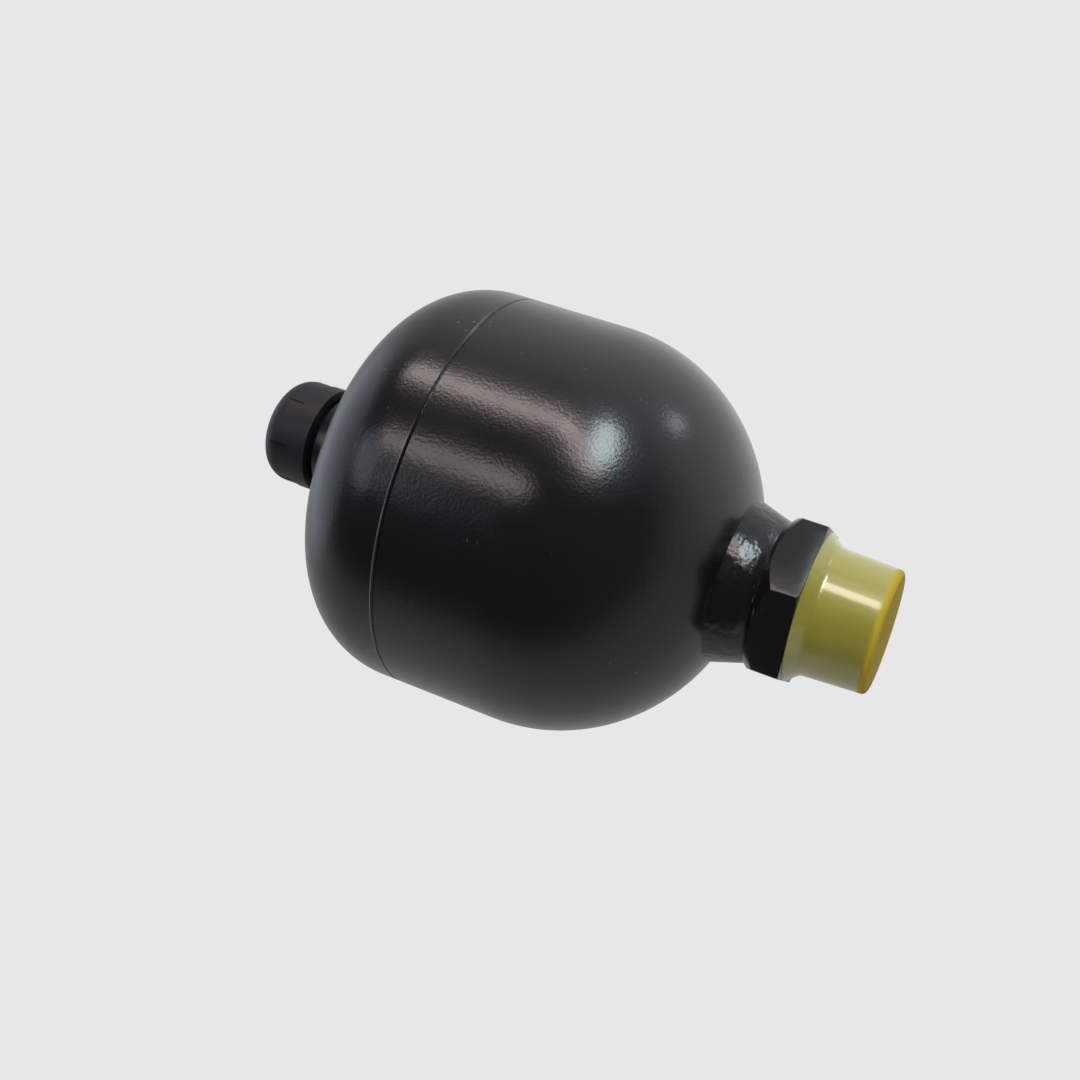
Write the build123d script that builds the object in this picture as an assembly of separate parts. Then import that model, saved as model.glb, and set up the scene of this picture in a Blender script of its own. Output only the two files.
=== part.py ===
from build123d import *
from math import asin, degrees, radians, sqrt, tan
import os

# Diaphragm accumulator of the 0.75 litre class, welded from two forged shell halves,
# with the transport caps on both ends. Millimetres.
# +Z runs along the axis from the fluid port up to the gas end. The origin is the middle
# of the fluid port cap's flat end, the face that the accumulator stands on.

# Vessel
body_radius = 60.5
wall = 6.0
fluid_dome_depth = 57.0
body_length = 36.7
gas_knuckle_radius = 28.0
gas_crown_radius = 110.0
seam_below_gas_dome = 6.5
seam_groove = 0.5

# Clamping zone inside the vessel, round the weld seam
joint_wall = 4.5
bead_height = 6.0
ring_above_seam = 4.5
ring_below_seam = 4.0
ring_thickness = 4.2
ring_lead_in = 1.2
fit_gap = 0.05

# Fluid port fitting: welded neck, spanner hexagon, M33 x 1.5 nipple, G 1/2 female thread
nipple_radius = 16.5
nipple_length = 18.9
nipple_chamfer = 1.0
relief_width = 2.5
relief_depth = 1.3
hex_across_flats = 44.0
hex_length = 12.1
hex_chamfer = 4.5
hex_face_chamfer = 0.5
neck_length = 10.5
neck_bottom_radius = 20.9
neck_top_radius = 24.3
spigot_radius = 18.0
port_thread_radius = 9.32
port_thread_depth = 16.0
port_mouth_radius = 10.6
oil_bore_radius = 7.0

# Gas boss: welded collar, M28 x 1.5 thread, M16 x 1.5 charging hole
boss_radius = 15.0
collar_length = 10.4
boss_thread_radius = 14.0
boss_thread_length = 15.0
boss_chamfer = 1.0
boss_spigot_radius = 11.0
gas_bore_radius = 2.0

# Charging screw with a hexagon socket and its sealing ring
screw_radius = 7.6
screw_length = 12.0
screw_head_radius = 10.4
screw_head_height = 4.6
screw_head_gap = 0.1
head_recess_depth = 5.0
screw_socket_across_flats = 6.0
screw_socket_depth = 4.0
screw_tip_chamfer = 1.0
seal_section_radius = 0.9
seal_squeeze_gap = 0.05

# Separator: rubber diaphragm with the steel closing button moulded into its middle
diaphragm_gap = 0.3
diaphragm_thickness = 3.0
bead_thickness = 4.2
button_radius = 14.5
button_thickness = 3.2
button_edge = 0.8
button_stem_radius = 5.0
button_head_radius = 8.5
button_head_thickness = 2.0
seat_gap = 0.05

# Fluid port cap: tapered, translucent, with a flared rim
port_cap_radius = 18.0
port_cap_open_radius = 18.9
port_cap_wall = 1.2
port_cap_floor = 1.5
port_cap_end_gap = 2.1
port_cap_corner = 1.5
flare_radius = 21.9
flare_height = 3.7
flare_bend = 2.5
flare_edge = 0.7

# Gas cap: moulded, with grip grooves above a plain collar
gas_cap_radius = 16.2
gas_cap_collar_step = 0.25
gas_cap_collar_height = 4.8
gas_cap_skirt = 13.0
gas_cap_bore_gap = 0.1
gas_cap_floor = 2.6
gas_cap_end_gap = 1.0
gas_cap_rounding = 6.2
gas_cap_turn = -12.0
grip_groove_count = 7
grip_groove_width = 1.1
grip_groove_depth = 0.35

# Heights of the stack, from the standing face up
nipple_end = port_cap_floor + port_cap_end_gap
hex_face = nipple_end + nipple_length
neck_bottom = hex_face + hex_length
fluid_land = neck_bottom + neck_length
fluid_land_drop = fluid_dome_depth * sqrt(1 - (neck_top_radius / body_radius) ** 2)
fluid_dome_centre = fluid_land + fluid_land_drop
gas_dome_start = fluid_dome_centre + body_length
seam_height = gas_dome_start - seam_below_gas_dome

knuckle_offset = body_radius - gas_knuckle_radius
crown_drop = sqrt((gas_crown_radius - gas_knuckle_radius) ** 2 - knuckle_offset ** 2)
crown_centre = gas_dome_start - crown_drop
gas_land = crown_centre + sqrt(gas_crown_radius ** 2 - boss_radius ** 2)
collar_top = gas_land + collar_length
boss_end = collar_top + boss_thread_length
gas_cap_top = boss_end + gas_cap_end_gap + gas_cap_floor

inner_radius = body_radius - wall
joint_radius = body_radius - joint_wall
ring_bottom = seam_height - ring_below_seam
ring_top = seam_height + ring_above_seam
bead_bottom = ring_bottom - bead_height
inner_dome_depth = fluid_dome_depth - wall
spigot_drop = inner_dome_depth * sqrt(1 - (spigot_radius / inner_radius) ** 2)
port_seat = fluid_dome_centre - spigot_drop
button_bottom = port_seat + seat_gap
button_top = button_bottom + button_thickness

whole_height = gas_cap_top + 10.0


def turned(*outline):
    """Solid turned about Z from a closed outline of (radius, height) points and edges."""
    with BuildPart() as solid:
        with BuildSketch(Plane.XZ):
            with BuildLine():
                for piece in outline:
                    add(piece)
            make_face()
        revolve(axis=Axis.Z)
    return solid.part


def turned_polygon(*points):
    """Solid turned about Z from the straight-sided outline through (radius, height) points."""
    return turned(Polyline(*points, close=True))


def fluid_dome_curve(radius, depth):
    """Exact quarter ellipse of the fluid dome, from its lowest point up to its widest."""
    lowest = fluid_dome_centre - depth
    corner_weight = sqrt(0.5)
    return Bezier(
        (0, lowest),
        (radius, lowest),
        (radius, fluid_dome_centre),
        weights=(1, corner_weight, 1),
    )


def vessel_body(inset):
    """Solid inside the vessel's outline, with the outline moved inward by inset."""
    radius = body_radius - inset
    depth = fluid_dome_depth - inset
    crown_radius = gas_crown_radius - inset
    crown_angle = degrees(asin(knuckle_offset / (gas_crown_radius - gas_knuckle_radius)))
    fluid_dome = fluid_dome_curve(radius, depth)
    side = Line((radius, fluid_dome_centre), (radius, gas_dome_start))
    knuckle_radius = gas_knuckle_radius - inset
    knuckle_centre = (knuckle_offset, gas_dome_start)
    knuckle = CenterArc(knuckle_centre, knuckle_radius, 0, 90 - crown_angle)
    crown = CenterArc((0, crown_centre), crown_radius, 90 - crown_angle, crown_angle)
    middle = Line((0, crown_centre + crown_radius), (0, fluid_dome_centre - depth))
    return turned(fluid_dome, side, knuckle, crown, middle)


def vessel_wall():
    """Both shell halves as one wall: recess for the clamping ring, seam groove, weld lands."""
    recess = turned_polygon(
        (0, bead_bottom), (joint_radius, bead_bottom), (joint_radius, ring_top), (0, ring_top)
    )
    groove = turned_polygon(
        (body_radius - seam_groove, seam_height),
        (body_radius + seam_groove, seam_height + 2 * seam_groove),
        (body_radius + seam_groove, seam_height - 2 * seam_groove),
    )
    fluid_spot = Pos(0, 0, fluid_land / 2) * Cylinder(neck_top_radius, fluid_land)
    fluid_hole = Pos(0, 0, port_seat / 2) * Cylinder(spigot_radius, port_seat)
    above = whole_height - gas_land
    gas_spot = Pos(0, 0, gas_land + above / 2) * Cylinder(boss_radius, above)
    gas_hole = Pos(0, 0, gas_land) * Cylinder(boss_spigot_radius, 2 * above)
    wall_solid = vessel_body(0) - vessel_body(wall) - recess - groove
    return wall_solid - fluid_spot - fluid_hole - gas_spot - gas_hole


def gas_shell(walls):
    """Flatter half, above the weld seam."""
    return split(walls, bisect_by=Plane.XY.offset(seam_height), keep=Keep.TOP)


def fluid_shell(walls):
    """Deeper half, below the weld seam."""
    return split(walls, bisect_by=Plane.XY.offset(seam_height), keep=Keep.BOTTOM)


def port_fitting():
    """Neck, hexagon and nipple turned from one bar, with the flats milled afterwards."""
    corner_radius = hex_across_flats / sqrt(3)
    shoulder = neck_bottom - hex_chamfer
    relief_radius = nipple_radius - relief_depth
    chamfer_radius = nipple_radius - nipple_chamfer
    mouth_depth = port_mouth_radius - port_thread_radius
    drill_end = nipple_end + port_thread_depth
    drill_cone = drill_end + (port_thread_radius - oil_bore_radius) * tan(radians(30))
    blank = turned_polygon(
        (port_mouth_radius, nipple_end),
        (chamfer_radius, nipple_end),
        (nipple_radius, nipple_end + nipple_chamfer),
        (nipple_radius, hex_face - relief_width),
        (relief_radius, hex_face - relief_width + relief_depth),
        (relief_radius, hex_face),
        (corner_radius - hex_face_chamfer, hex_face),
        (corner_radius, hex_face + hex_face_chamfer),
        (corner_radius, shoulder),
        (neck_bottom_radius, neck_bottom),
        (neck_top_radius, fluid_land),
        (spigot_radius, fluid_land),
        (spigot_radius, port_seat),
        (oil_bore_radius, port_seat),
        (oil_bore_radius, drill_cone),
        (port_thread_radius, drill_end),
        (port_thread_radius, nipple_end + mouth_depth),
    )
    with BuildPart() as waste:
        with BuildSketch(Plane.XY.offset(hex_face)):
            Circle(2 * corner_radius)
            RegularPolygon(hex_across_flats / 2, 6, major_radius=False, rotation=30, mode=Mode.SUBTRACT)
        extrude(amount=hex_length)
    return blank - waste.part


def gas_boss():
    """Collar with the M28 thread outside and the charging screw's hole inside."""
    crown_inside = gas_crown_radius - wall
    boss_foot = crown_centre + sqrt(crown_inside ** 2 - boss_spigot_radius ** 2)
    recess_floor = boss_end - head_recess_depth
    hole_bottom = recess_floor - screw_length - screw_tip_chamfer
    recess_radius = screw_head_radius + screw_head_gap
    thread_chamfer_radius = boss_thread_radius - boss_chamfer
    return turned_polygon(
        (gas_bore_radius, boss_foot),
        (boss_spigot_radius, boss_foot),
        (boss_spigot_radius, gas_land),
        (boss_radius, gas_land),
        (boss_radius, collar_top),
        (boss_thread_radius, collar_top),
        (boss_thread_radius, boss_end - boss_chamfer),
        (thread_chamfer_radius, boss_end),
        (recess_radius, boss_end),
        (recess_radius, recess_floor),
        (screw_radius + fit_gap, recess_floor),
        (screw_radius + fit_gap, hole_bottom),
        (gas_bore_radius, hole_bottom - screw_tip_chamfer),
    )


def charging_screw():
    """Socket-headed screw that closes the gas side, grooved under its head for the seal."""
    seat = boss_end - head_recess_depth
    groove_roof = seat + 2 * seal_section_radius + 2 * seal_squeeze_gap
    groove_outside = screw_radius + 2 * seal_section_radius + 4 * seal_squeeze_gap
    head_top = seat + screw_head_height
    tip = seat - screw_length
    head_chamfer = screw_tip_chamfer / 2
    blank = turned_polygon(
        (0, tip),
        (screw_radius - screw_tip_chamfer, tip),
        (screw_radius, tip + screw_tip_chamfer),
        (screw_radius, groove_roof),
        (groove_outside, groove_roof),
        (groove_outside, seat),
        (screw_head_radius, seat),
        (screw_head_radius, head_top - head_chamfer),
        (screw_head_radius - head_chamfer, head_top),
        (0, head_top),
    )
    socket_plane = Plane.XY.offset(head_top - screw_socket_depth)
    with BuildPart() as socket:
        with BuildSketch(socket_plane):
            RegularPolygon(screw_socket_across_flats / 2, 6, major_radius=False)
        extrude(amount=screw_socket_depth)
    return blank - socket.part


def charging_screw_seal():
    """Round-section ring in the groove under the charging screw's head."""
    seat = boss_end - head_recess_depth
    ring_radius = screw_radius + seal_section_radius + 2 * seal_squeeze_gap
    ring_height = seat + seal_section_radius + seal_squeeze_gap
    return Pos(0, 0, ring_height) * Torus(ring_radius, seal_section_radius)


def retaining_ring():
    """Rolled steel ring that clamps the diaphragm's bead and backs the weld seam."""
    outside = joint_radius - fit_gap
    inside = outside - ring_thickness
    top = ring_top - fit_gap
    return turned_polygon(
        (outside, ring_bottom),
        (outside, top),
        (inside + ring_lead_in, top),
        (inside, top - 2 * ring_lead_in),
        (inside, ring_bottom),
    )


def diaphragm():
    """Rubber bowl against the fluid half, with a clamped bead and a pad over the button."""
    bead_outside = joint_radius - diaphragm_gap
    bead_inside = bead_outside - bead_thickness
    outer_radius = inner_radius - diaphragm_gap
    outer_depth = inner_dome_depth - diaphragm_gap
    bowl_radius = outer_radius - diaphragm_thickness
    bowl_depth = outer_depth - diaphragm_thickness
    rim_bottom = bead_bottom + diaphragm_gap
    rim_top = ring_bottom - fit_gap
    pad_radius = button_radius + diaphragm_thickness
    pad_top = button_top + fit_gap + diaphragm_thickness
    bead = turned_polygon(
        (bead_inside, rim_bottom),
        (bead_outside, rim_bottom),
        (bead_outside, rim_top),
        (bead_inside, rim_top),
    )
    outside = turned(
        fluid_dome_curve(outer_radius, outer_depth),
        Polyline(
            (outer_radius, fluid_dome_centre),
            (outer_radius, rim_top),
            (0, rim_top),
            (0, fluid_dome_centre - outer_depth),
        ),
    )
    bowl = turned(
        fluid_dome_curve(bowl_radius, bowl_depth),
        Polyline(
            (bowl_radius, fluid_dome_centre),
            (bowl_radius, rim_top),
            (0, rim_top),
            (0, fluid_dome_centre - bowl_depth),
        ),
    )
    pad_floor = port_seat + diaphragm_gap
    pad = Pos(0, 0, (pad_floor + pad_top) / 2) * Cylinder(pad_radius, pad_top - pad_floor)
    below = Pos(0, 0, pad_floor / 2) * Cylinder(outer_radius, pad_floor)
    button_room = turned_polygon(
        (0, 0),
        (button_radius + fit_gap, 0),
        (button_radius + fit_gap, button_top + fit_gap),
        (button_stem_radius + fit_gap, button_top + fit_gap),
        (button_stem_radius + fit_gap, pad_top),
        (0, pad_top),
    )
    pad_in_bowl = pad & outside
    return (outside - bowl) + bead + pad_in_bowl - below - button_room


def closing_button():
    """Steel disc that lands on the port seat, riveted through the diaphragm's pad."""
    pad_top = button_top + 2 * fit_gap + diaphragm_thickness
    head_top = pad_top + button_head_thickness
    return turned_polygon(
        (0, button_bottom),
        (button_radius - button_edge, button_bottom),
        (button_radius, button_bottom + button_edge),
        (button_radius, button_top),
        (button_stem_radius, button_top),
        (button_stem_radius, pad_top),
        (button_head_radius, pad_top),
        (button_head_radius, head_top - button_edge),
        (button_head_radius - button_edge, head_top),
        (0, head_top),
    )


def port_cap():
    """Tapered push-on cap over the nipple, its rim flared out against the hexagon."""
    rim_top = hex_face - seat_gap
    flare_start = rim_top - flare_height
    taper = (port_cap_open_radius - port_cap_radius) / flare_start
    inner_open = port_cap_open_radius - port_cap_wall
    inner_end = inner_open - taper * (flare_start - port_cap_floor)
    flare_inner = flare_radius - flare_edge
    outside = FilletPolyline(
        (port_cap_radius, 0),
        (port_cap_open_radius, flare_start),
        (flare_radius, rim_top),
        radius=flare_bend,
    )
    inside = FilletPolyline(
        (inner_end, port_cap_floor),
        (inner_open, flare_start),
        (flare_inner, rim_top),
        radius=flare_bend + port_cap_wall,
    )
    rim = Line((flare_radius, rim_top), (flare_inner, rim_top))
    floor = Polyline((inner_end, port_cap_floor), (0, port_cap_floor), (0, 0), (port_cap_radius, 0))
    cap = turned(outside, rim, inside, floor)
    end_edge = cap.edges().filter_by(GeomType.CIRCLE).sort_by(Axis.Z)[0]
    return fillet(end_edge, port_cap_corner)


def gas_cap():
    """Moulded cap over the charging screw, with grooves for grip above a plain collar."""
    skirt_bottom = gas_cap_top - gas_cap_floor - gas_cap_skirt - gas_cap_end_gap
    collar_radius = gas_cap_radius + gas_cap_collar_step
    collar_top_height = skirt_bottom + gas_cap_collar_height
    bore_radius = boss_thread_radius + gas_cap_bore_gap
    ceiling = gas_cap_top - gas_cap_floor
    blank = turned_polygon(
        (bore_radius, skirt_bottom),
        (collar_radius, skirt_bottom),
        (collar_radius, collar_top_height),
        (gas_cap_radius, collar_top_height + gas_cap_collar_step),
        (gas_cap_radius, gas_cap_top),
        (0, gas_cap_top),
        (0, ceiling),
        (bore_radius, ceiling),
    )
    top_edge = blank.edges().filter_by(GeomType.CIRCLE).sort_by(Axis.Z)[-1]
    blank = fillet(top_edge, gas_cap_rounding)
    groove_bottom = collar_top_height + gas_cap_collar_step + grip_groove_width
    groove_length = gas_cap_top - groove_bottom
    for index in range(grip_groove_count):
        angle = gas_cap_turn + 360 * index / grip_groove_count
        groove = Box(2 * grip_groove_depth, grip_groove_width, groove_length)
        place = Pos(gas_cap_radius, 0, groove_bottom + groove_length / 2)
        blank -= Rot(0, 0, angle) * place * groove
    return blank


walls = vessel_wall()
nodes = {
    "gas_shell": gas_shell(walls),
    "fluid_shell": fluid_shell(walls),
    "port_fitting": port_fitting(),
    "gas_boss": gas_boss(),
    "charging_screw": charging_screw(),
    "charging_screw_seal": charging_screw_seal(),
    "retaining_ring": retaining_ring(),
    "diaphragm": diaphragm(),
    "closing_button": closing_button(),
    "port_cap": port_cap(),
    "gas_cap": gas_cap(),
}

os.makedirs("parts", exist_ok=True)
for name, solid in nodes.items():
    solid.label = name
    export_step(solid, f"parts/{name}.step")
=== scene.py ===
from math import cos, pi, radians, sin, sqrt

import bpy
from mathutils import Matrix, Quaternion, Vector


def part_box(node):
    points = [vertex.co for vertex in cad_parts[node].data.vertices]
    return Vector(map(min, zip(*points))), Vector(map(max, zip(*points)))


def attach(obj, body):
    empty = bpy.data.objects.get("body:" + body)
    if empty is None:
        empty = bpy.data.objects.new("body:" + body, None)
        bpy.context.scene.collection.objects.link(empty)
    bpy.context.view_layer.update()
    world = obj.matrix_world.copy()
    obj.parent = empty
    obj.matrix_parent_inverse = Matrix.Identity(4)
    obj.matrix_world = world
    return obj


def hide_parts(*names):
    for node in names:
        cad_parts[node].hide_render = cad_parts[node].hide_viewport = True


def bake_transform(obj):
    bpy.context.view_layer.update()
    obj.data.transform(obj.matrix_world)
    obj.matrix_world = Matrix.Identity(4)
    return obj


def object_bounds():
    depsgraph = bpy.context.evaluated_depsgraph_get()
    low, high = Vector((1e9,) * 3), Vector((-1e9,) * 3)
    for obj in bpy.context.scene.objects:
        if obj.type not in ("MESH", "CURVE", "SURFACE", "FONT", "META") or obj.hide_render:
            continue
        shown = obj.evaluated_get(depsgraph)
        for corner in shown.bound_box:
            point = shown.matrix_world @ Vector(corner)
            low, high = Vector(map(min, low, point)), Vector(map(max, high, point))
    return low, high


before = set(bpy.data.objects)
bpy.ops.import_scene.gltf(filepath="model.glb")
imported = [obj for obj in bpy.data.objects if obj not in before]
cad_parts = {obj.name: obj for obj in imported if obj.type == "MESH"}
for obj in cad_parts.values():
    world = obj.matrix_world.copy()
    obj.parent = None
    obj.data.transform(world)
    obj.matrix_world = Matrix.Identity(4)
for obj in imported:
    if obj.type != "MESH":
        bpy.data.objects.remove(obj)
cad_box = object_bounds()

# Diaphragm accumulator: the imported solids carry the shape, and the threaded ends and the
# rubber are modelled here. Metres. +Z runs from the fluid port up to the gas end.

MM = 0.001
MERGE_DISTANCE = 1e-6

fitting_low, fitting_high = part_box("port_fitting")
boss_low, boss_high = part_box("gas_boss")
rubber_low, rubber_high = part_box("diaphragm")
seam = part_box("fluid_shell")[1].z
button_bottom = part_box("closing_button")[0].z

# Nipple and hexagon of the fluid port fitting
nipple_end = fitting_low.z
nipple_radius = 16.5 * MM
nipple_core = 15.6 * MM
nipple_break_in = 0.2 * MM
nipple_break_up = 0.4 * MM
nipple_relief = 15.2 * MM
hex_face = nipple_end + 18.9 * MM
relief_start = hex_face - 2.5 * MM
relief_full = hex_face - 1.4 * MM
hex_flat = 22.0 * MM
hex_corner = 25.3 * MM
hex_break = 0.5 * MM
hex_chamfer = 4.4 * MM

# Neck and bore of the fluid port fitting
neck_bottom = hex_face + 12.1 * MM
neck_bottom_radius = 20.9 * MM
neck_foot_step = 0.2 * MM
neck_foot_rise = 0.3 * MM
neck_top = neck_bottom + 10.5 * MM
neck_top_radius = 24.3 * MM
spigot_radius = 18.0 * MM
port_seat = fitting_high.z
port_crest = 9.32 * MM
port_root = 10.4 * MM
port_break = 0.3 * MM
port_thread_end = nipple_end + 15.0 * MM
port_runout_radius = port_root - 0.9 * MM
port_runout_end = nipple_end + 16.0 * MM
port_floor = nipple_end + 17.3 * MM
oil_bore = 7.0 * MM
metric_pitch = 1.5 * MM
pipe_pitch = 1.814 * MM

# Gas boss
collar_radius = 15.0 * MM
boss_end = boss_high.z
boss_radius = 14.0 * MM
boss_core = 13.1 * MM
boss_break_in = 0.5 * MM
boss_break_down = 0.7 * MM
collar_top = boss_end - 15.0 * MM
gas_land = collar_top - 10.4 * MM
boss_spigot = 11.0 * MM
gas_bore = 2.0 * MM
screw_hole = 7.65 * MM
recess_radius = 10.5 * MM
recess_floor = boss_end - 5.0 * MM
hole_bottom = recess_floor - 13.0 * MM
hole_cone = 1.0 * MM

# Rubber diaphragm
dome_centre = 97.3 * MM
rubber_radius = 54.2 * MM
rubber_depth = 50.7 * MM
rubber_thickness = 3.0 * MM
bead_radius = rubber_high.x
bead_inside = 51.2 * MM
bead_height = 5.65 * MM
pad_radius = 17.5 * MM
pad_taper = 0.6 * MM
pad_top = button_bottom + 6.25 * MM
skirt_width = 3.4 * MM
stem_room = 5.05 * MM
button_room = 14.55 * MM
button_shoulder = button_bottom + 3.25 * MM
bowl_clearance = 0.5 * MM
bowl_steps = 15
bowl_step_degrees = 6


# ---------------------------------------------------------------- modelling helpers

def clear_selection():
    bpy.ops.object.select_all(action="DESELECT")


def make_active(piece):
    """Selects this piece alone, so that operators act on nothing else."""
    clear_selection()
    piece.select_set(True)
    bpy.context.view_layer.objects.active = piece


def select_verts(piece, wanted):
    """In edit mode, selects the vertices for which wanted(place) is true."""
    bpy.ops.mesh.select_mode(type="VERT")
    bpy.ops.mesh.select_all(action="DESELECT")
    bpy.ops.object.mode_set(mode="OBJECT")
    for vert in piece.data.vertices:
        vert.select = wanted(vert.co)
    bpy.ops.object.mode_set(mode="EDIT")


def name_piece(piece, name):
    piece.name = name
    piece.data.name = name
    return piece


def apply_place(piece):
    """Puts the piece's place into its mesh, so that its object sits at the origin."""
    make_active(piece)
    bpy.ops.object.transform_apply(location=True, rotation=True, scale=True)


def turned_ring(name, steps, outline):
    """Closed solid of revolution: a circle is extruded and resized from step to step."""
    clear_selection()
    radius, height = outline[0]
    bpy.ops.mesh.primitive_circle_add(vertices=steps, radius=radius, location=(0, 0, height))
    piece = bpy.context.object
    apply_place(piece)
    bpy.ops.object.mode_set(mode="EDIT")
    bpy.ops.mesh.select_mode(type="VERT")
    bpy.ops.mesh.select_all(action="SELECT")
    for next_radius, next_height in list(outline[1:]) + [outline[0]]:
        bpy.ops.mesh.extrude_region_move(
            TRANSFORM_OT_translate={"value": (0, 0, next_height - height)}
        )
        ratio = next_radius / radius
        bpy.ops.transform.resize(value=(ratio, ratio, 1))
        radius, height = next_radius, next_height
    bpy.ops.mesh.select_all(action="SELECT")
    bpy.ops.mesh.remove_doubles(threshold=MERGE_DISTANCE)
    bpy.ops.mesh.normals_make_consistent(inside=False)
    bpy.ops.object.mode_set(mode="OBJECT")
    return name_piece(piece, name)


def smooth(piece, degrees_limit):
    make_active(piece)
    bpy.ops.object.shade_smooth_by_angle(angle=radians(degrees_limit))


def finish_with(piece, kind, **settings):
    """Adds a modifier with these settings and applies it."""
    make_active(piece)
    modifier = piece.modifiers.new(name=kind.title(), type=kind)
    for key, value in settings.items():
        setattr(modifier, key, value)
    bpy.ops.object.modifier_apply(modifier=modifier.name)


def break_edges(piece, width, sharper_than, smooth_below):
    """Bevels edges sharper than one angle, and shades smooth those below another."""
    finish_with(
        piece, "BEVEL", width=width, segments=2,
        limit_method="ANGLE", angle_limit=radians(sharper_than),
    )
    smooth(piece, smooth_below)


def thread(name, crest, pitch, start, end, inward=False):
    """Strip of triangular section wound between two heights, its two ends closed flat.

    The section's flat side is one pitch wide and faces away from the wall that carries it,
    so neighbouring turns meet flush and the strip shows as a plain sleeve, with no grooves.
    """
    crest_to_middle = 0.86
    steps_per_turn = 72
    clear_selection()
    section = pitch / sqrt(3)
    side = -1 if inward else 1
    middle = crest - side * section * crest_to_middle
    centre = (middle, 0, start)
    quarter = radians(90)
    bpy.ops.mesh.primitive_circle_add(
        vertices=3, radius=section, location=centre, rotation=(quarter, 0, quarter)
    )
    piece = bpy.context.object
    apply_place(piece)
    bpy.ops.object.mode_set(mode="EDIT")
    bpy.ops.mesh.select_mode(type="VERT")
    bpy.ops.mesh.select_all(action="SELECT")
    # The section starts in the YZ plane with one corner up. These two turns lay that corner
    # into the carrying wall.
    bpy.ops.transform.rotate(value=quarter, orient_axis="Z", center_override=centre)
    bpy.ops.transform.rotate(value=side * quarter, orient_axis="Y", center_override=centre)
    bpy.ops.object.mode_set(mode="OBJECT")
    finish_with(
        piece, "SCREW", axis="Z", angle=radians(360), screw_offset=pitch,
        iterations=int((end - start) / pitch), steps=steps_per_turn,
        render_steps=steps_per_turn, use_merge_vertices=True, merge_threshold=1e-7,
    )
    bpy.ops.object.mode_set(mode="EDIT")
    bpy.ops.mesh.select_all(action="SELECT")
    bpy.ops.mesh.fill_holes(sides=4)
    bpy.ops.mesh.normals_make_consistent(inside=False)
    bpy.ops.object.mode_set(mode="OBJECT")
    smooth(piece, 25)
    return name_piece(piece, name)


# ---------------------------------------------------------------- pieces

def mill_flats(piece):
    """Cuts the six flats of the hexagon, and nothing above or below it."""
    reach = 0.1 * MM
    bpy.ops.object.mode_set(mode="EDIT")
    for index in range(6):
        angle = radians(60 * index)
        out = Vector((cos(angle), sin(angle), 0))
        select_verts(piece, lambda place: hex_face - reach < place.z < neck_bottom + reach)
        bpy.ops.mesh.select_mode(type="FACE")
        bpy.ops.mesh.bisect(
            plane_co=out * hex_flat, plane_no=out, use_fill=True, clear_outer=True,
            threshold=MERGE_DISTANCE,
        )
    bpy.ops.mesh.select_all(action="SELECT")
    bpy.ops.mesh.normals_make_consistent(inside=False)
    bpy.ops.object.mode_set(mode="OBJECT")


def port_fitting():
    """Neck, hexagon and nipple, with the six flats cut and every edge broken."""
    piece = turned_ring("threaded_port_fitting", 144, (
        (port_root + port_break, nipple_end),
        (nipple_core - nipple_break_in, nipple_end),
        (nipple_core, nipple_end + nipple_break_up),
        (nipple_core, relief_start),
        (nipple_relief, relief_full),
        (nipple_relief, hex_face),
        (hex_corner - hex_break, hex_face),
        (hex_corner, hex_face + hex_break),
        (hex_corner, neck_bottom - hex_chamfer),
        (neck_bottom_radius, neck_bottom),
        (neck_bottom_radius + neck_foot_step, neck_bottom + neck_foot_rise),
        (neck_top_radius, neck_top),
        (spigot_radius, neck_top),
        (spigot_radius, port_seat),
        (oil_bore, port_seat),
        (oil_bore, port_floor),
        (port_runout_radius, port_runout_end),
        (port_root, port_thread_end),
        (port_root, nipple_end + port_break),
    ))
    mill_flats(piece)
    break_edges(piece, 0.22 * MM, sharper_than=18, smooth_below=30)
    return piece


def gas_boss():
    """Collar, boss core and the charging screw's recess."""
    foot = boss_low.z
    piece = turned_ring("threaded_gas_boss", 128, (
        (gas_bore, foot),
        (boss_spigot, foot),
        (boss_spigot, gas_land),
        (collar_radius, gas_land),
        (collar_radius, collar_top),
        (boss_core, collar_top),
        (boss_core, boss_end - boss_break_down),
        (boss_core - boss_break_in, boss_end),
        (recess_radius, boss_end),
        (recess_radius, recess_floor),
        (screw_hole, recess_floor),
        (screw_hole, hole_bottom),
        (gas_bore, hole_bottom - hole_cone),
    ))
    break_edges(piece, 0.25 * MM, sharper_than=30, smooth_below=30)
    return piece


def rubber_outline():
    """Section of the rubber bowl: bead, bowl inside and outside, pad over the button."""
    rim_high = rubber_high.z
    rim_low = rim_high - bead_height
    pad_floor = rubber_low.z
    inner_radius = rubber_radius - rubber_thickness
    inner_depth = rubber_depth - rubber_thickness
    outside = [(bead_radius, rim_high), (bead_radius, rim_low), (rubber_radius, rim_low)]
    inside = [(bead_inside, rim_high)]
    for index in range(bowl_steps):
        swing = radians(bowl_step_degrees * index)
        outside.append((rubber_radius * cos(swing), dome_centre - rubber_depth * sin(swing)))
        inside.append((inner_radius * cos(swing), dome_centre - inner_depth * sin(swing)))
    outside = [point for point in outside if point[1] > pad_floor + bowl_clearance]
    inside = [point for point in inside if point[1] > pad_top + bowl_clearance]
    pad = [
        (button_room + skirt_width, pad_floor),
        (button_room, pad_floor),
        (button_room, button_shoulder),
        (stem_room, button_shoulder),
        (stem_room, pad_top),
        (pad_radius - pad_taper, pad_top),
    ]
    return outside + pad + list(reversed(inside))


def rubber_diaphragm():
    piece = turned_ring("rubber_diaphragm", 96, rubber_outline())
    break_edges(piece, 0.3 * MM, sharper_than=40, smooth_below=40)
    return piece


# ---------------------------------------------------------------- shader helpers

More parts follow.
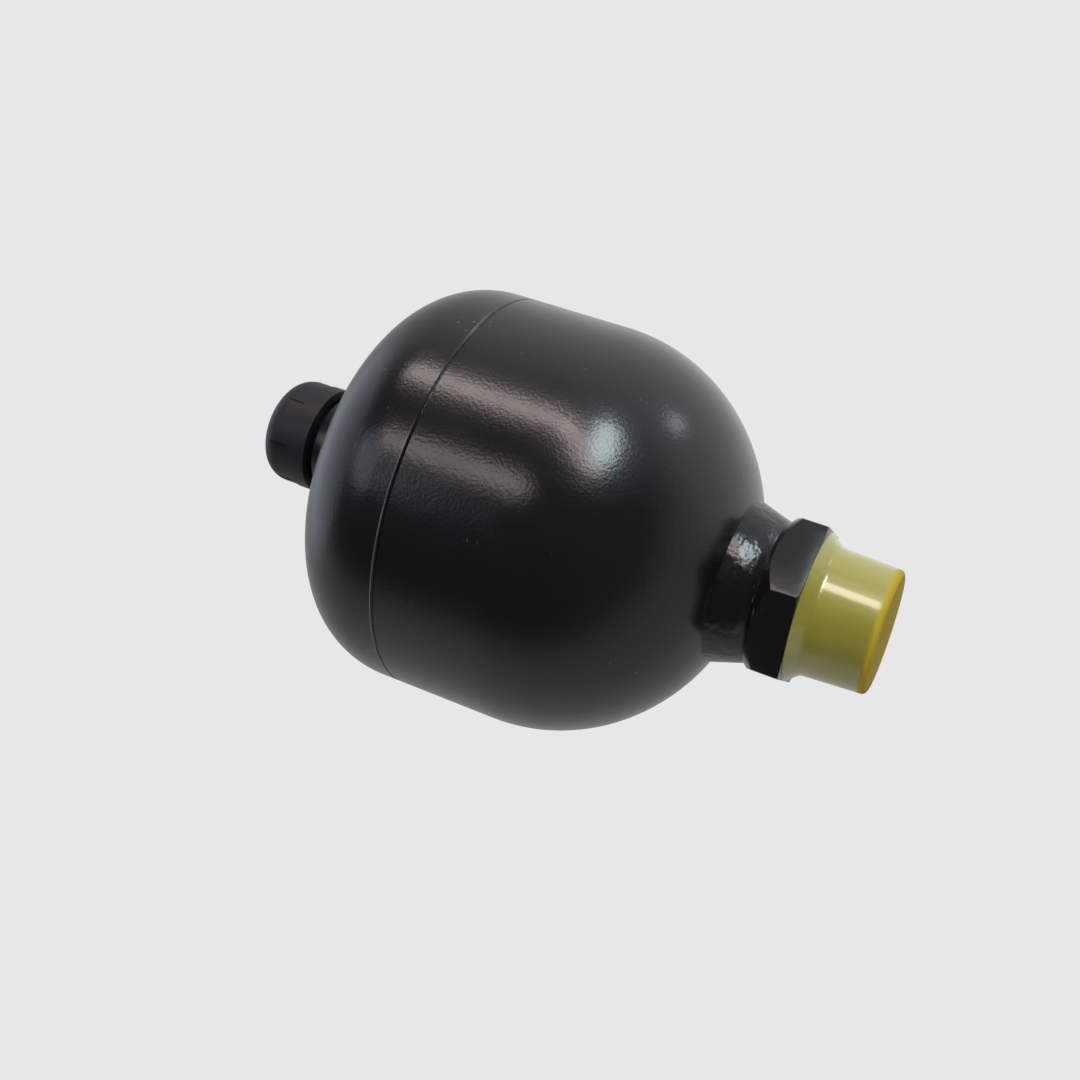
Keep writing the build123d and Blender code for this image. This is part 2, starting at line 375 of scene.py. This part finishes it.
def new_group(name, inputs, outputs):
    """Empty shader node group with these float inputs and these outputs."""
    group = bpy.data.node_groups.new(name, "ShaderNodeTree")
    for label, value in inputs:
        socket = group.interface.new_socket(
            name=label, in_out="INPUT", socket_type="NodeSocketFloat"
        )
        socket.default_value = value
    for label, kind in outputs:
        group.interface.new_socket(name=label, in_out="OUTPUT", socket_type=kind)
    start = group.nodes.new("NodeGroupInput")
    end = group.nodes.new("NodeGroupOutput")
    return group, start, end


def add_node(tree, kind, **settings):
    node = tree.nodes.new(kind)
    for key, value in settings.items():
        setattr(node, key, value)
    return node


def feed(tree, socket, value):
    """Links the socket where value is another node's output, and sets it otherwise."""
    if isinstance(value, bpy.types.NodeSocket):
        tree.links.new(value, socket)
    else:
        socket.default_value = value


def maths(tree, operation, first, second=None, third=None, clamp=False):
    node = add_node(tree, "ShaderNodeMath", operation=operation, use_clamp=clamp)
    for index, value in enumerate((first, second, third)):
        if value is not None:
            feed(tree, node.inputs[index], value)
    return node.outputs[0]


def noise(tree, place, scale, detail=2.0, rough=0.5):
    node = add_node(tree, "ShaderNodeTexNoise")
    tree.links.new(place, node.inputs["Vector"])
    feed(tree, node.inputs["Scale"], scale)
    node.inputs["Detail"].default_value = detail
    node.inputs["Roughness"].default_value = rough
    return node.outputs["Fac"]


def step_up(tree, value, low, high):
    """0 below low, 1 above high, smooth between."""
    node = add_node(tree, "ShaderNodeMapRange", interpolation_type="SMOOTHSTEP")
    tree.links.new(value, node.inputs["Value"])
    node.inputs["From Min"].default_value = low
    node.inputs["From Max"].default_value = high
    return node.outputs["Result"]


def step_down(tree, value, low, high):
    """1 below low, 0 above high, smooth between."""
    return maths(tree, "SUBTRACT", 1.0, step_up(tree, value, low, high))


def two_tone(tree, factor, first, second):
    """Mixes two colours, each of them fixed or from another node."""
    node = add_node(tree, "ShaderNodeMix", data_type="RGBA")
    tree.links.new(factor, node.inputs["Factor"])
    feed(tree, node.inputs["A"], first)
    feed(tree, node.inputs["B"], second)
    return node.outputs["Result"]


def object_place(tree):
    return add_node(tree, "ShaderNodeTexCoord").outputs["Object"]


def axes(tree, place):
    """X, Y and Z of a place or a direction."""
    node = add_node(tree, "ShaderNodeSeparateXYZ")
    tree.links.new(place, node.inputs["Vector"])
    return node.outputs


def stretched(tree, place, scale, turn=(0, 0, 0)):
    """The place with its own scale on each axis, which draws a noise out into streaks."""
    node = add_node(tree, "ShaderNodeMapping")
    node.inputs["Rotation"].default_value = turn
    node.inputs["Scale"].default_value = scale
    tree.links.new(place, node.inputs["Vector"])
    return node.outputs["Vector"]


def relief(tree, shader, height, strength, distance):
    bump = add_node(tree, "ShaderNodeBump")
    bump.inputs["Strength"].default_value = strength
    bump.inputs["Distance"].default_value = distance
    tree.links.new(height, bump.inputs["Height"])
    tree.links.new(bump.outputs["Normal"], shader.inputs["Normal"])


def place_group(tree, group, **values):
    node = add_node(tree, "ShaderNodeGroup", node_tree=group)
    for label, value in values.items():
        node.inputs[label.replace("_", " ")].default_value = value
    return node


def new_material(name, **sockets):
    material = bpy.data.materials.new(name)
    material.use_nodes = True
    tree = material.node_tree
    shader = tree.nodes["Principled BSDF"]
    for label, value in sockets.items():
        shader.inputs[label.replace("_", " ")].default_value = value
    return material, tree, shader


# ---------------------------------------------------------------- finishes

def orange_peel_group():
    """Grain of sprayed paint: fine pebbles over slow swells."""
    swell_scale = 240.0
    group, start, end = new_group(
        "orange_peel", (("Pebble scale", 1500.0), ("Swell", 0.5)), (("Height", "NodeSocketFloat"),)
    )
    place = object_place(group)
    pebbles = noise(group, place, start.outputs["Pebble scale"], detail=1.5)
    slow = noise(group, place, swell_scale)
    height = maths(group, "MULTIPLY_ADD", slow, start.outputs["Swell"], pebbles)
    group.links.new(height, end.inputs["Height"])
    return group


def handling_marks_group():
    """Sparse specks of dust and short pale scuffs left by handling."""
    speck_scale = 170.0
    dusty_scale = 45.0
    scuffed_scale = 60.0
    smear_scale = 28.0
    scuff_stretch = (90.0, 900.0, 900.0)
    scuff_slant = (0.5, 0.9, 0.4)
    group, start, end = new_group(
        "handling_marks",
        (("Speck amount", 0.5), ("Scuff amount", 0.5)),
        (("Mask", "NodeSocketFloat"), ("Smear", "NodeSocketFloat")),
    )
    place = object_place(group)
    cells = add_node(group, "ShaderNodeTexVoronoi", feature="F1")
    group.links.new(place, cells.inputs["Vector"])
    cells.inputs["Scale"].default_value = speck_scale
    dusty = step_up(group, noise(group, place, dusty_scale, detail=1.0), 0.59, 0.63)
    dot = step_down(group, cells.outputs["Distance"], 0.045, 0.085)
    dust = maths(group, "MULTIPLY", dot, dusty)
    specks = maths(group, "MULTIPLY", dust, start.outputs["Speck amount"])
    along = stretched(group, place, scuff_stretch, scuff_slant)
    streaks = noise(group, along, 1.0, detail=3.0, rough=0.6)
    patches = step_up(group, noise(group, place, scuffed_scale), 0.64, 0.70)
    lines = maths(group, "MULTIPLY", step_up(group, streaks, 0.62, 0.70), patches)
    scuffs = maths(group, "MULTIPLY", lines, start.outputs["Scuff amount"])
    smear = noise(group, place, smear_scale, detail=3.0, rough=0.6)
    group.links.new(maths(group, "MAXIMUM", specks, scuffs), end.inputs["Mask"])
    group.links.new(smear, end.inputs["Smear"])
    return group


def seam_lip_highlight(tree, level, seam_level):
    """Mask of a painted highlight on the weld seam's upper lip, stronger here and weaker there."""
    off_seam = maths(tree, "SUBTRACT", level, seam_level)
    lip_bottom = step_up(tree, off_seam, 0.42 * MM, 0.56 * MM)
    lip_top = step_down(tree, off_seam, 0.68 * MM, 0.90 * MM)
    lip = maths(tree, "MULTIPLY", lip_bottom, lip_top)
    patchy = noise(tree, object_place(tree), 16.0, detail=3.0, rough=0.6)
    return maths(tree, "MULTIPLY", lip, step_up(tree, patchy, 0.42, 0.62))


def calmed_below(tree, height, level, calm_level):
    """Grain at full height above a level, and nearly flat below it."""
    left_over = 0.12
    fade = step_up(tree, level, calm_level, calm_level + 2.5 * MM)
    share = maths(tree, "MULTIPLY_ADD", fade, 1.0 - left_over, left_over)
    return maths(tree, "MULTIPLY", height, share)


def black_paint(
    name, peel, marks, gloss, swell, bump_strength, pebble_scale, smooth_below=None, lip_highlight_at=None
):
    """Stoved black paint: grain, dust specks and scuffs over a near-black colour, and where asked a
    painted highlight on the weld seam's lip.
    """
    deep = (0.0035, 0.0035, 0.0042, 1)
    thin = (0.0065, 0.0065, 0.0072, 1)
    scuffed = (0.13, 0.13, 0.135, 1)
    # Lighter grey for the seam's upper lip: a painted highlight standing in for its lit edge.
    painted_lip_highlight = (0.12, 0.12, 0.125, 1)
    smear_haze = 0.16
    scuff_haze = 0.3
    material, tree, shader = new_material(name, IOR=1.5)
    grain = place_group(tree, peel, Pebble_scale=pebble_scale, Swell=swell)
    wear = place_group(tree, marks, Speck_amount=0.55, Scuff_amount=0.5)
    level = axes(tree, object_place(tree))["Z"]
    body = two_tone(tree, wear.outputs["Smear"], deep, thin)
    colour = two_tone(tree, wear.outputs["Mask"], body, scuffed)
    # Painted highlight: the seam's upper lip is coloured lighter grey, standing in for its lit
    # edge.
    if lip_highlight_at is not None:
        colour = two_tone(tree, seam_lip_highlight(tree, level, lip_highlight_at), colour, painted_lip_highlight)
    tree.links.new(colour, shader.inputs["Base Color"])
    haze = maths(tree, "MULTIPLY_ADD", wear.outputs["Smear"], smear_haze, gloss - smear_haze / 2)
    rough = maths(tree, "MULTIPLY_ADD", wear.outputs["Mask"], scuff_haze, haze, clamp=True)
    tree.links.new(rough, shader.inputs["Roughness"])
    height = grain.outputs["Height"]
    if smooth_below is not None:
        height = calmed_below(tree, height, level, smooth_below)
    relief(tree, shader, height, bump_strength, 0.1 * MM)
    return material


def turned_steel(name, colour_low, colour_high, gloss):
    """Turned or plated steel: fine rings round Z and a slow change of tone."""
    ring_stretch = (60.0, 60.0, 5200.0)
    material, tree, shader = new_material(name, Metallic=1.0)
    place = object_place(tree)
    rings = noise(tree, stretched(tree, place, ring_stretch), 1.0, rough=0.6)
    patches = noise(tree, place, 120.0, detail=3.0, rough=0.6)
    colour = two_tone(tree, patches, colour_low, colour_high)
    tree.links.new(colour, shader.inputs["Base Color"])
    tree.links.new(maths(tree, "MULTIPLY_ADD", rings, 0.2, gloss), shader.inputs["Roughness"])
    relief(tree, shader, rings, 0.25, 0.02 * MM)
    return material


def nitrile_rubber():
    """Matt black rubber with a slight grey bloom."""
    fresh = (0.012, 0.012, 0.012, 1)
    bloomed = (0.03, 0.029, 0.028, 1)
    material, tree, shader = new_material("nitrile_rubber", IOR=1.52)
    place = object_place(tree)
    bloom = noise(tree, place, 90.0, detail=4.0, rough=0.6)
    tree.links.new(two_tone(tree, bloom, fresh, bloomed), shader.inputs["Base Color"])
    tree.links.new(maths(tree, "MULTIPLY_ADD", bloom, 0.25, 0.5), shader.inputs["Roughness"])
    relief(tree, shader, noise(tree, place, 1800.0), 0.3, 0.05 * MM)
    return material


def black_plastic():
    """Moulded cap: fine spark-eroded texture, slightly greyer than the paint."""
    dark = (0.006, 0.006, 0.0075, 1)
    grey = (0.011, 0.0105, 0.013, 1)
    material, tree, shader = new_material("black_plastic", IOR=1.4)
    place = object_place(tree)
    haze = noise(tree, place, 75.0, detail=3.0, rough=0.6)
    tree.links.new(two_tone(tree, haze, dark, grey), shader.inputs["Base Color"])
    tree.links.new(maths(tree, "MULTIPLY_ADD", haze, 0.15, 0.42), shader.inputs["Roughness"])
    relief(tree, shader, noise(tree, place, 3200.0, detail=1.5), 0.25, 0.04 * MM)
    return material


def yellow_plastic():
    """Soft translucent plastic: glossy sides, and a matt closed end deeper in colour."""
    thick_flow = (0.50, 0.475, 0.045, 1)
    thin_flow = (0.66, 0.62, 0.085, 1)
    end_colour = (0.76, 0.60, 0.02, 1)
    flow_stretch = (420.0, 420.0, 25.0)
    side_coat = 0.85
    material, tree, shader = new_material(
        "yellow_plastic", IOR=1.48, Transmission_Weight=0.6, Coat_IOR=1.75, Coat_Roughness=0.13,
    )
    place = object_place(tree)
    level = axes(tree, place)["Z"]
    cloud = noise(tree, place, 110.0, detail=3.0)
    flow = noise(tree, stretched(tree, place, flow_stretch), 1.0)
    side = step_up(tree, level, 1.2 * MM, 2.8 * MM)
    end = maths(tree, "SUBTRACT", 1.0, side)
    body = two_tone(tree, flow, thick_flow, thin_flow)
    tree.links.new(two_tone(tree, end, body, end_colour), shader.inputs["Base Color"])
    tree.links.new(maths(tree, "MULTIPLY", side, side_coat), shader.inputs["Coat Weight"])
    matt = maths(tree, "MULTIPLY_ADD", end, 0.4, 0.30)
    tree.links.new(maths(tree, "MULTIPLY_ADD", cloud, 0.12, matt), shader.inputs["Roughness"])
    coarse = noise(tree, place, 160.0)
    ripple = maths(tree, "MULTIPLY_ADD", noise(tree, place, 700.0), 0.35, coarse)
    relief(tree, shader, ripple, 0.35, 0.2 * MM)
    return material


def paint_node(node, material):
    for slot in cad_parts[node].material_slots:
        slot.material = material


def paint_piece(piece, material):
    piece.data.materials.clear()
    piece.data.materials.append(material)


# ---------------------------------------------------------------- studio

def heading(azimuth, elevation):
    """Unit vector that points that way, in degrees from +X and above the horizon."""
    turn, lift = radians(azimuth), radians(elevation)
    return Vector((cos(turn) * cos(lift), sin(turn) * cos(lift), sin(lift)))


def strip_lamp(name, low, high, width, brightness, colour):
    """Soft lamp from one heading to another, as seen from the middle of the body."""
    middle = Vector((0, 0, 0.09))
    distance = 0.8
    low_end = middle + distance * heading(*low)
    high_end = middle + distance * heading(*high)
    length = max((high_end - low_end).length, width)
    data = bpy.data.lights.new(name, "AREA")
    data.shape = "ELLIPSE"
    data.size, data.size_y = width, length
    data.energy = brightness * pi * pi * width * length / 4
    data.color = colour
    lamp = bpy.data.objects.new(name, data)
    bpy.context.scene.collection.objects.link(lamp)
    lamp.visible_camera = False
    lamp.location = (low_end + high_end) / 2
    back = (lamp.location - middle).normalized()
    along = high_end - low_end
    along = (along - along.dot(back) * back).normalized()
    lamp.rotation_mode = "QUATERNION"
    lamp.rotation_quaternion = Matrix((along.cross(back), along, back)).transposed().to_quaternion()


def studio_lamps():
    cool = (0.80, 0.95, 1.0)
    warm = (1.0, 0.85, 0.82)
    blue = (0.84, 0.88, 1.0)
    sky = (0.82, 0.86, 1.0)
    strip_lamp("key", (-56, -24), (-32, -12), width=0.19, brightness=15.0, colour=cool)
    strip_lamp("second", (-1, -33), (8, -28), width=0.10, brightness=6.5, colour=blue)
    strip_lamp("window", (-46, -2), (-39, 40), width=0.11, brightness=9.0, colour=warm)
    strip_lamp("sill", (-63, -25), (-44, 6), width=0.17, brightness=6.5, colour=warm)
    strip_lamp("door", (-84, 6), (-80, 34), width=0.13, brightness=4.8, colour=warm)
    strip_lamp("panel", (-106, 27), (-84, 52), width=0.30, brightness=1.7, colour=sky)


def studio_floor():
    """Pale floor that shows only from above, so the object can be seen from below it too."""
    floor_size = 60.0
    floor_level = cad_box[0][2] - 0.3 * MM
    clear_selection()
    bpy.ops.mesh.primitive_plane_add(size=floor_size, location=(0, 0, floor_level))
    floor = name_piece(bpy.context.object, "studio_floor")
    material, tree, shader = new_material(
        "floor_paper", Base_Color=(0.78, 0.78, 0.78, 1), Roughness=0.9
    )
    rays = add_node(tree, "ShaderNodeLightPath").outputs
    side = add_node(tree, "ShaderNodeNewGeometry")
    seen = maths(tree, "ADD", rays["Is Camera Ray"], rays["Is Diffuse Ray"], clamp=True)
    front = maths(tree, "SUBTRACT", 1.0, side.outputs["Backfacing"])
    clear = add_node(tree, "ShaderNodeBsdfTransparent")
    mix = add_node(tree, "ShaderNodeMixShader")
    tree.links.new(maths(tree, "MULTIPLY", seen, front), mix.inputs["Fac"])
    tree.links.new(clear.outputs["BSDF"], mix.inputs[1])
    tree.links.new(shader.outputs["BSDF"], mix.inputs[2])
    tree.links.new(mix.outputs["Shader"], tree.nodes["Material Output"].inputs["Surface"])
    floor.data.materials.append(material)


def studio_world():
    """Dim room, brighter toward +Y, +X and overhead. The camera itself sees pale paper."""
    dimmest = 0.07
    far_strength = 0.42
    side_strength = 0.46
    side_fade = 0.38
    ceiling_strength = 0.8
    room_tone = (0.98, 0.98, 1.0, 1)
    ceiling_tone = (0.80, 0.86, 1.0, 1)
    world = bpy.data.worlds.new("studio")
    bpy.context.scene.world = world
    world.use_nodes = True
    tree = world.node_tree
    tree.nodes.clear()
    rays = add_node(tree, "ShaderNodeLightPath")
    way = axes(tree, add_node(tree, "ShaderNodeTexCoord").outputs["Generated"])
    toward_far = step_up(tree, way["Y"], -0.45, 0.05)
    far_wall = maths(tree, "MULTIPLY_ADD", toward_far, far_strength, dimmest)
    toward_side = step_up(
        tree, maths(tree, "MULTIPLY_ADD", way["Y"], 0.4, way["X"]), 0.10, 0.85
    )
    upward = step_up(tree, way["Z"], 0.15, 0.7)
    side_level = maths(tree, "MULTIPLY_ADD", upward, -side_fade, side_strength)
    side_wall = maths(tree, "MULTIPLY_ADD", toward_side, side_level, far_wall)
    ceiling = step_up(tree, way["Z"], 0.79, 0.93)
    paper = add_node(tree, "ShaderNodeBackground")
    paper.inputs["Color"].default_value = (0.80, 0.80, 0.80, 1)
    lit = add_node(tree, "ShaderNodeBackground")
    tree.links.new(two_tone(tree, ceiling, room_tone, ceiling_tone), lit.inputs["Color"])
    tree.links.new(
        maths(tree, "MULTIPLY_ADD", ceiling, ceiling_strength, side_wall), lit.inputs["Strength"]
    )
    mix = add_node(tree, "ShaderNodeMixShader")
    tree.links.new(rays.outputs["Is Camera Ray"], mix.inputs["Fac"])
    tree.links.new(lit.outputs["Background"], mix.inputs[1])
    tree.links.new(paper.outputs["Background"], mix.inputs[2])
    out = add_node(tree, "ShaderNodeOutputWorld")
    tree.links.new(mix.outputs["Shader"], out.inputs["Surface"])


def studio_camera():
    """Stands in front and lower than the port, rolled so that the part lies on its side."""
    target = Vector((0.0298, -0.0034, 0.0848))
    distance = 0.4172
    away = heading(-96.49, -16.55)
    roll = radians(-72.09)
    data = bpy.data.cameras.new("camera")
    data.lens = 47.3
    data.sensor_width = 36.0
    data.shift_x = -0.0926
    data.shift_y = -0.0926
    camera = bpy.data.objects.new("camera", data)
    bpy.context.scene.collection.objects.link(camera)
    camera.location = target + distance * away
    camera.rotation_mode = "QUATERNION"
    camera.rotation_quaternion = away.to_track_quat("Z", "Y") @ Quaternion((0, 0, 1), roll)
    bpy.context.scene.camera = camera


def studio():
    studio_camera()
    studio_floor()
    studio_world()
    studio_lamps()
    bpy.context.scene.view_settings.view_transform = "Standard"


# ---------------------------------------------------------------- assembly

studio()

fitting = port_fitting()
boss = gas_boss()
rubber = rubber_diaphragm()
nipple_thread = thread(
    "port_nipple_thread", nipple_radius, metric_pitch,
    start=nipple_end + 1.2 * MM, end=hex_face - 2.8 * MM,
)
port_thread = thread(
    "port_female_thread", port_crest, pipe_pitch,
    start=nipple_end + 1.6 * MM, end=port_thread_end, inward=True,
)
boss_thread = thread(
    "gas_boss_thread", boss_radius, metric_pitch,
    start=collar_top + 1.3 * MM, end=boss_end - 1.0 * MM,
)

peel = orange_peel_group()
marks = handling_marks_group()
shell_paint = black_paint(
    "black_paint", peel, marks,
    gloss=0.235, swell=0.3, bump_strength=0.48, pebble_scale=1150.0, lip_highlight_at=seam,
)
neck_paint = black_paint(
    "black_paint_fitting", peel, marks,
    gloss=0.24, swell=4.5, bump_strength=1.0, pebble_scale=700.0, smooth_below=neck_bottom,
)
steel = turned_steel("bare_steel", (0.42, 0.42, 0.43, 1), (0.50, 0.50, 0.50, 1), gloss=0.28)
zinc = turned_steel("zinc_steel", (0.52, 0.53, 0.54, 1), (0.62, 0.62, 0.60, 1), gloss=0.22)
rubber_finish = nitrile_rubber()

paint_node("gas_shell", shell_paint)
paint_node("fluid_shell", shell_paint)
paint_node("charging_screw", zinc)
paint_node("charging_screw_seal", rubber_finish)
paint_node("retaining_ring", steel)
paint_node("closing_button", steel)
paint_node("port_cap", yellow_plastic())
paint_node("gas_cap", black_plastic())

paint_piece(fitting, neck_paint)
paint_piece(nipple_thread, neck_paint)
paint_piece(port_thread, neck_paint)
paint_piece(boss, shell_paint)
paint_piece(boss_thread, shell_paint)
paint_piece(rubber, rubber_finish)

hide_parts("port_fitting")
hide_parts("gas_boss")
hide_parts("diaphragm")
for piece in (fitting, nipple_thread, port_thread, boss, boss_thread):
    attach(piece, "vessel")
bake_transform(rubber)
